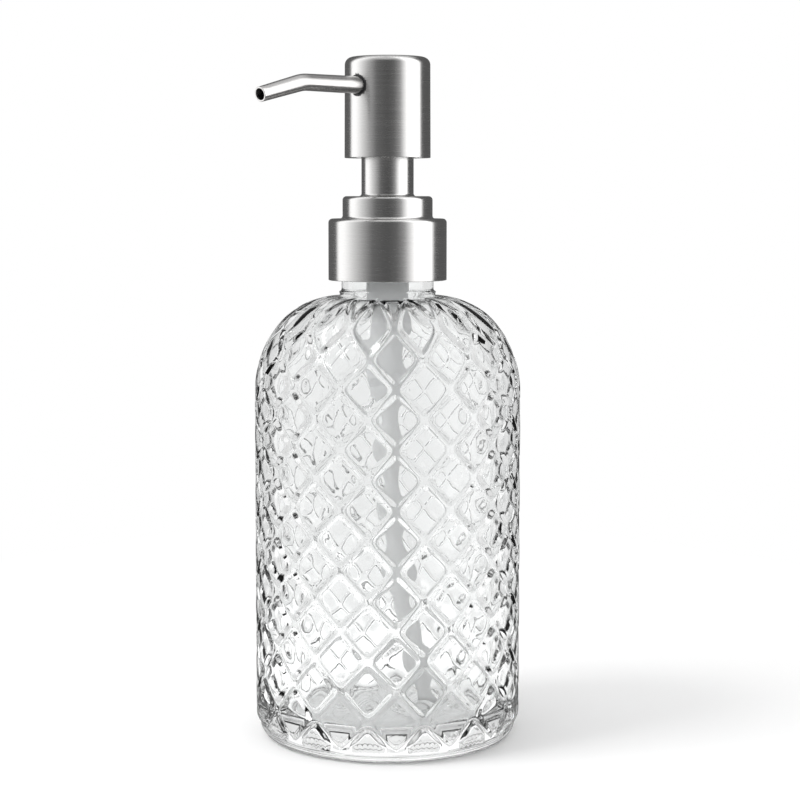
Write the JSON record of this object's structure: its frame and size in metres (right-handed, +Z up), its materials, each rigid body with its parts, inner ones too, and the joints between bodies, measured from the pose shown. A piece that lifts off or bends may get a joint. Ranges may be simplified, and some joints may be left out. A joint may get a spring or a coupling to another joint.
{
  "type": "soap pump dispenser",
  "caption": "Clear glass soap bottle with a raised diamond lattice and a stainless screw-on lotion pump with a slim bent spout.",
  "frame": {"origin": "on the pump's axis, in the plane that the base rests on", "axes": "+Z up along the bottle's and the pump's common axis; the spout points along -X"},
  "size_m": [0.0863, 0.0752, 0.1922],
  "materials": {
    "glass": "clear, fire-polished pressed glass, faintly grey-green where it is thick",
    "steel": "satin stainless steel, brushed round the axis",
    "spout_steel": "satin stainless tube",
    "bright_steel": "bright drawn wire and polished balls",
    "white_plastic": "moulded polypropylene",
    "frosted_plastic": "translucent natural polypropylene",
    "tube_plastic": "translucent extruded polyethylene",
    "soft_seal": "soft white sealing foam and elastomer",
    "dark_seal": "dark elastomer"
  },
  "bodies": {
    "bottle": {"bottle": "glass"},
    "pump_unit": {"neck_gasket": "soft_seal", "pump_housing": "frosted_plastic", "chaplet": "white_plastic", "stem_wiper": "soft_seal", "dip_tube": "tube_plastic", "ball_cage": "white_plastic", "spring": "bright_steel"},
    "collar": {"collar_shell": "steel", "closure": "white_plastic"},
    "foot_valve": {"inlet_ball": "bright_steel"},
    "plunger": {"piston": "white_plastic"},
    "head": {"stem": "white_plastic", "piston_seat": "white_plastic", "head_shell": "steel", "head_core": "white_plastic", "spout": "spout_steel", "spout_seal": "dark_seal"},
    "head_valve": {"outlet_ball": "bright_steel"}
  },
  "joints": [
    {"name": "pump_rise", "type": "slide", "parent": "bottle", "child": "pump_unit", "axis": [0, 0, 1], "range_m": [0, 0.0064]},
    {"name": "collar_turn", "type": "hinge", "parent": "pump_unit", "child": "collar", "pos_m": [0, 0, 0.138], "axis": [0, 0, 1], "range_deg": [0, 540]},
    {"name": "inlet_ball_lift", "type": "slide", "parent": "pump_unit", "child": "foot_valve", "axis": [0, 0, 1], "range_m": [0, 0.0012]},
    {"name": "pump_stroke", "type": "slide", "parent": "pump_unit", "child": "plunger", "axis": [0, 0, -1], "range_m": [0, 0.01], "stiffness_N_per_m": 400, "springref_m": -0.0075, "deforming": ["spring"]},
    {"name": "head_swivel", "type": "hinge", "parent": "plunger", "child": "head", "pos_m": [0, 0, 0.184], "axis": [0, 0, 1], "continuous": true},
    {"name": "outlet_ball_lift", "type": "slide", "parent": "head", "child": "head_valve", "axis": [0, 0, 1], "range_m": [0, 0.0012]}
  ],
  "couplings": [
    {"joint": "pump_rise", "follows": "collar_turn", "m_per_rad": 0.0006737}
  ]
}
